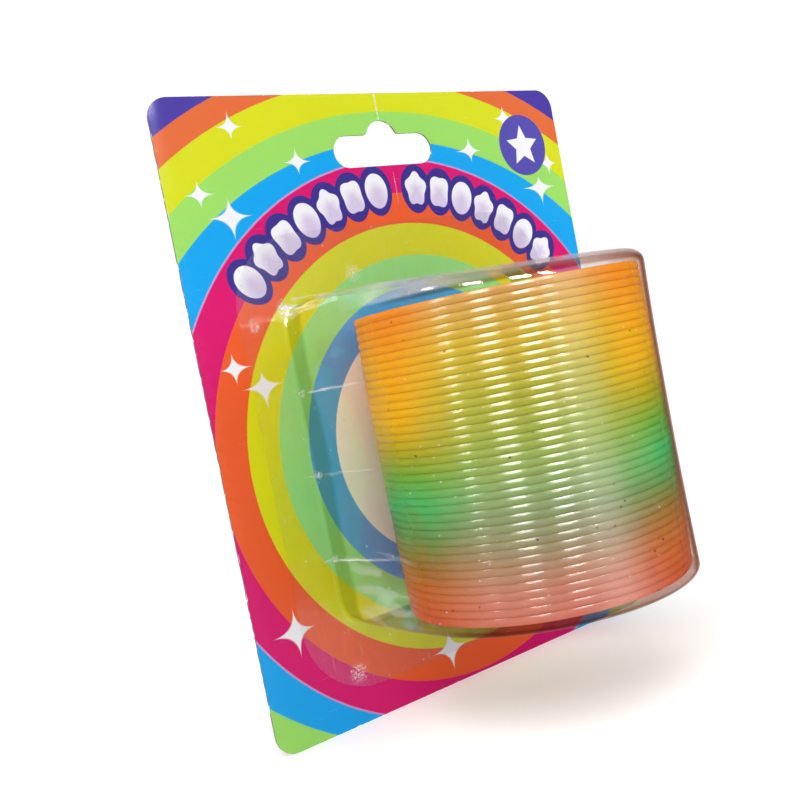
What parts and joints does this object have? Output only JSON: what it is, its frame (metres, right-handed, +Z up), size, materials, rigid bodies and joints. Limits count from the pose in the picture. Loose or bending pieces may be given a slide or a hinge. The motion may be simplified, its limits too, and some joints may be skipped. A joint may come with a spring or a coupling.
{
  "type": "spring coil toy in blister pack",
  "caption": "Rainbow plastic spring coil, wound closed into a cylinder, held in a clear domed blister on a printed hanging card with a peg slot.",
  "frame": {"origin": "middle of the hang slot, on the card's back face", "axes": "+Z up along the card's height, +Y out of the card's back, +X to the right as seen from the front; the coil is in front of the card, at negative Y"},
  "size_m": [0.13, 0.0713, 0.1592],
  "materials": {
    "printed_card": "gloss-varnished print, concentric rainbow rings on the front, uncoated grey board on the back",
    "clear_sheet": "clear thermoformed sheet",
    "coil_orange": "slightly translucent gloss plastic",
    "coil_amber": "slightly translucent gloss plastic",
    "coil_yellow": "slightly translucent gloss plastic",
    "coil_lime": "slightly translucent gloss plastic",
    "coil_green": "slightly translucent gloss plastic",
    "coil_olive": "slightly translucent gloss plastic",
    "coil_rust": "slightly translucent gloss plastic",
    "coil_coral": "slightly translucent gloss plastic"
  },
  "bodies": {
    "card": {"backing_card": "printed_card"},
    "blister": {"blister": "clear_sheet"},
    "turn_01": {"coil_turn_01": "coil_coral"},
    "turn_02": {"coil_turn_02": "coil_coral"},
    "turn_03": {"coil_turn_03": "coil_coral"},
    "turn_04": {"coil_turn_04": "coil_coral"},
    "turn_05": {"coil_turn_05": "coil_rust"},
    "turn_06": {"coil_turn_06": "coil_rust"},
    "turn_07": {"coil_turn_07": "coil_rust"},
    "turn_08": {"coil_turn_08": "coil_rust"},
    "turn_09": {"coil_turn_09": "coil_rust"},
    "turn_10": {"coil_turn_10": "coil_olive"},
    "turn_11": {"coil_turn_11": "coil_olive"},
    "turn_12": {"coil_turn_12": "coil_olive"},
    "turn_13": {"coil_turn_13": "coil_green"},
    "turn_14": {"coil_turn_14": "coil_green"},
    "turn_15": {"coil_turn_15": "coil_green"},
    "turn_16": {"coil_turn_16": "coil_green"},
    "turn_17": {"coil_turn_17": "coil_green"},
    "turn_18": {"coil_turn_18": "coil_green"},
    "turn_19": {"coil_turn_19": "coil_green"},
    "turn_20": {"coil_turn_20": "coil_green"},
    "turn_21": {"coil_turn_21": "coil_lime"},
    "turn_22": {"coil_turn_22": "coil_lime"},
    "turn_23": {"coil_turn_23": "coil_lime"},
    "turn_24": {"coil_turn_24": "coil_lime"},
    "turn_25": {"coil_turn_25": "coil_lime"},
    "turn_26": {"coil_turn_26": "coil_yellow"},
    "turn_27": {"coil_turn_27": "coil_yellow"},
    "turn_28": {"coil_turn_28": "coil_yellow"},
    "turn_29": {"coil_turn_29": "coil_yellow"},
    "turn_30": {"coil_turn_30": "coil_yellow"},
    "turn_31": {"coil_turn_31": "coil_amber"},
    "turn_32": {"coil_turn_32": "coil_amber"},
    "turn_33": {"coil_turn_33": "coil_amber"},
    "turn_34": {"coil_turn_34": "coil_amber"},
    "turn_35": {"coil_turn_35": "coil_amber"},
    "turn_36": {"coil_turn_36": "coil_orange"},
    "turn_37": {"coil_turn_37": "coil_orange"},
    "turn_38": {"coil_turn_38": "coil_orange"},
    "turn_39": {"coil_turn_39": "coil_orange"}
  },
  "joints": [
    {"name": "blister_peel", "type": "slide", "parent": "card", "child": "blister", "axis": [0, -1, 0], "range_m": [0, 0.12]},
    {"name": "coil_spin", "type": "hinge", "parent": "card", "child": "turn_01", "pos_m": [-0.0023, -0.0359, -0.0805], "axis": [0, 0, 1], "continuous": true},
    {"name": "coil_stretch", "type": "slide", "parent": "turn_01", "child": "turn_39", "axis": [0, 0, 1], "range_m": [0, 0.0011], "stiffness_N_per_m": 0.8},
    {"name": "turn_02_rise", "type": "slide", "parent": "turn_01", "child": "turn_02", "axis": [0, 0, 1], "range_m": [0, 0.000029948]},
    {"name": "turn_03_rise", "type": "slide", "parent": "turn_01", "child": "turn_03", "axis": [0, 0, 1], "range_m": [0, 0.000058895]},
    {"name": "turn_04_rise", "type": "slide", "parent": "turn_01", "child": "turn_04", "axis": [0, 0, 1], "range_m": [0, 0.000087842]},
    {"name": "turn_05_rise", "type": "slide", "parent": "turn_01", "child": "turn_05", "axis": [0, 0, 1], "range_m": [0, 0.00011679]},
    {"name": "turn_06_rise", "type": "slide", "parent": "turn_01", "child": "turn_06", "axis": [0, 0, 1], "range_m": [0, 0.00014574]},
    {"name": "turn_07_rise", "type": "slide", "parent": "turn_01", "child": "turn_07", "axis": [0, 0, 1], "range_m": [0, 0.00017468]},
    {"name": "turn_08_rise", "type": "slide", "parent": "turn_01", "child": "turn_08", "axis": [0, 0, 1], "range_m": [0, 0.00020363]},
    {"name": "turn_09_rise", "type": "slide", "parent": "turn_01", "child": "turn_09", "axis": [0, 0, 1], "range_m": [0, 0.00023258]},
    {"name": "turn_10_rise", "type": "slide", "parent": "turn_01", "child": "turn_10", "axis": [0, 0, 1], "range_m": [0, 0.00026153]},
    {"name": "turn_11_rise", "type": "slide", "parent": "turn_01", "child": "turn_11", "axis": [0, 0, 1], "range_m": [0, 0.00029047]},
    {"name": "turn_12_rise", "type": "slide", "parent": "turn_01", "child": "turn_12", "axis": [0, 0, 1], "range_m": [0, 0.00031942]},
    {"name": "turn_13_rise", "type": "slide", "parent": "turn_01", "child": "turn_13", "axis": [0, 0, 1], "range_m": [0, 0.00034837]},
    {"name": "turn_14_rise", "type": "slide", "parent": "turn_01", "child": "turn_14", "axis": [0, 0, 1], "range_m": [0, 0.00037732]},
    {"name": "turn_15_rise", "type": "slide", "parent": "turn_01", "child": "turn_15", "axis": [0, 0, 1], "range_m": [0, 0.00040626]},
    {"name": "turn_16_rise", "type": "slide", "parent": "turn_01", "child": "turn_16", "axis": [0, 0, 1], "range_m": [0, 0.00043521]},
    {"name": "turn_17_rise", "type": "slide", "parent": "turn_01", "child": "turn_17", "axis": [0, 0, 1], "range_m": [0, 0.00046416]},
    {"name": "turn_18_rise", "type": "slide", "parent": "turn_01", "child": "turn_18", "axis": [0, 0, 1], "range_m": [0, 0.0004931]},
    {"name": "turn_19_rise", "type": "slide", "parent": "turn_01", "child": "turn_19", "axis": [0, 0, 1], "range_m": [0, 0.00052205]},
    {"name": "turn_20_rise", "type": "slide", "parent": "turn_01", "child": "turn_20", "axis": [0, 0, 1], "range_m": [0, 0.000551]},
    {"name": "turn_21_rise", "type": "slide", "parent": "turn_01", "child": "turn_21", "axis": [0, 0, 1], "range_m": [0, 0.00057995]},
    {"name": "turn_22_rise", "type": "slide", "parent": "turn_01", "child": "turn_22", "axis": [0, 0, 1], "range_m": [0, 0.0006089]},
    {"name": "turn_23_rise", "type": "slide", "parent": "turn_01", "child": "turn_23", "axis": [0, 0, 1], "range_m": [0, 0.00063784]},
    {"name": "turn_24_rise", "type": "slide", "parent": "turn_01", "child": "turn_24", "axis": [0, 0, 1], "range_m": [0, 0.00066679]},
    {"name": "turn_25_rise", "type": "slide", "parent": "turn_01", "child": "turn_25", "axis": [0, 0, 1], "range_m": [0, 0.00069574]},
    {"name": "turn_26_rise", "type": "slide", "parent": "turn_01", "child": "turn_26", "axis": [0, 0, 1], "range_m": [0, 0.00072468]},
    {"name": "turn_27_rise", "type": "slide", "parent": "turn_01", "child": "turn_27", "axis": [0, 0, 1], "range_m": [0, 0.00075363]},
    {"name": "turn_28_rise", "type": "slide", "parent": "turn_01", "child": "turn_28", "axis": [0, 0, 1], "range_m": [0, 0.00078258]},
    {"name": "turn_29_rise", "type": "slide", "parent": "turn_01", "child": "turn_29", "axis": [0, 0, 1], "range_m": [0, 0.00081153]},
    {"name": "turn_30_rise", "type": "slide", "parent": "turn_01", "child": "turn_30", "axis": [0, 0, 1], "range_m": [0, 0.00084047]},
    {"name": "turn_31_rise", "type": "slide", "parent": "turn_01", "child": "turn_31", "axis": [0, 0, 1], "range_m": [0, 0.00086942]},
    {"name": "turn_32_rise", "type": "slide", "parent": "turn_01", "child": "turn_32", "axis": [0, 0, 1], "range_m": [0, 0.00089837]},
    {"name": "turn_33_rise", "type": "slide", "parent": "turn_01", "child": "turn_33", "axis": [0, 0, 1], "range_m": [0, 0.00092732]},
    {"name": "turn_34_rise", "type": "slide", "parent": "turn_01", "child": "turn_34", "axis": [0, 0, 1], "range_m": [0, 0.00095626]},
    {"name": "turn_35_rise", "type": "slide", "parent": "turn_01", "child": "turn_35", "axis": [0, 0, 1], "range_m": [0, 0.00098521]},
    {"name": "turn_36_rise", "type": "slide", "parent": "turn_01", "child": "turn_36", "axis": [0, 0, 1], "range_m": [0, 0.00101]},
    {"name": "turn_37_rise", "type": "slide", "parent": "turn_01", "child": "turn_37", "axis": [0, 0, 1], "range_m": [0, 0.00104]},
    {"name": "turn_38_rise", "type": "slide", "parent": "turn_01", "child": "turn_38", "axis": [0, 0, 1], "range_m": [0, 0.00107]}
  ],
  "couplings": [
    {"joint": "turn_02_rise", "follows": "coil_stretch", "ratio": 0.026316},
    {"joint": "turn_03_rise", "follows": "coil_stretch", "ratio": 0.052632},
    {"joint": "turn_04_rise", "follows": "coil_stretch", "ratio": 0.078947},
    {"joint": "turn_05_rise", "follows": "coil_stretch", "ratio": 0.10526},
    {"joint": "turn_06_rise", "follows": "coil_stretch", "ratio": 0.13158},
    {"joint": "turn_07_rise", "follows": "coil_stretch", "ratio": 0.1579},
    {"joint": "turn_08_rise", "follows": "coil_stretch", "ratio": 0.18421},
    {"joint": "turn_09_rise", "follows": "coil_stretch", "ratio": 0.21053},
    {"joint": "turn_10_rise", "follows": "coil_stretch", "ratio": 0.23684},
    {"joint": "turn_11_rise", "follows": "coil_stretch", "ratio": 0.26316},
    {"joint": "turn_12_rise", "follows": "coil_stretch", "ratio": 0.28947},
    {"joint": "turn_13_rise", "follows": "coil_stretch", "ratio": 0.31579},
    {"joint": "turn_14_rise", "follows": "coil_stretch", "ratio": 0.3421},
    {"joint": "turn_15_rise", "follows": "coil_stretch", "ratio": 0.36842},
    {"joint": "turn_16_rise", "follows": "coil_stretch", "ratio": 0.39474},
    {"joint": "turn_17_rise", "follows": "coil_stretch", "ratio": 0.42105},
    {"joint": "turn_18_rise", "follows": "coil_stretch", "ratio": 0.44737},
    {"joint": "turn_19_rise", "follows": "coil_stretch", "ratio": 0.47368},
    {"joint": "turn_20_rise", "follows": "coil_stretch", "ratio": 0.5},
    {"joint": "turn_21_rise", "follows": "coil_stretch", "ratio": 0.52632},
    {"joint": "turn_22_rise", "follows": "coil_stretch", "ratio": 0.55263},
    {"joint": "turn_23_rise", "follows": "coil_stretch", "ratio": 0.57895},
    {"joint": "turn_24_rise", "follows": "coil_stretch", "ratio": 0.60526},
    {"joint": "turn_25_rise", "follows": "coil_stretch", "ratio": 0.63158},
    {"joint": "turn_26_rise", "follows": "coil_stretch", "ratio": 0.6579},
    {"joint": "turn_27_rise", "follows": "coil_stretch", "ratio": 0.68421},
    {"joint": "turn_28_rise", "follows": "coil_stretch", "ratio": 0.71053},
    {"joint": "turn_29_rise", "follows": "coil_stretch", "ratio": 0.73684},
    {"joint": "turn_30_rise", "follows": "coil_stretch", "ratio": 0.76316},
    {"joint": "turn_31_rise", "follows": "coil_stretch", "ratio": 0.78947},
    {"joint": "turn_32_rise", "follows": "coil_stretch", "ratio": 0.81579},
    {"joint": "turn_33_rise", "follows": "coil_stretch", "ratio": 0.8421},
    {"joint": "turn_34_rise", "follows": "coil_stretch", "ratio": 0.86842},
    {"joint": "turn_35_rise", "follows": "coil_stretch", "ratio": 0.89474},
    {"joint": "turn_36_rise", "follows": "coil_stretch", "ratio": 0.92105},
    {"joint": "turn_37_rise", "follows": "coil_stretch", "ratio": 0.94737},
    {"joint": "turn_38_rise", "follows": "coil_stretch", "ratio": 0.97368}
  ]
}
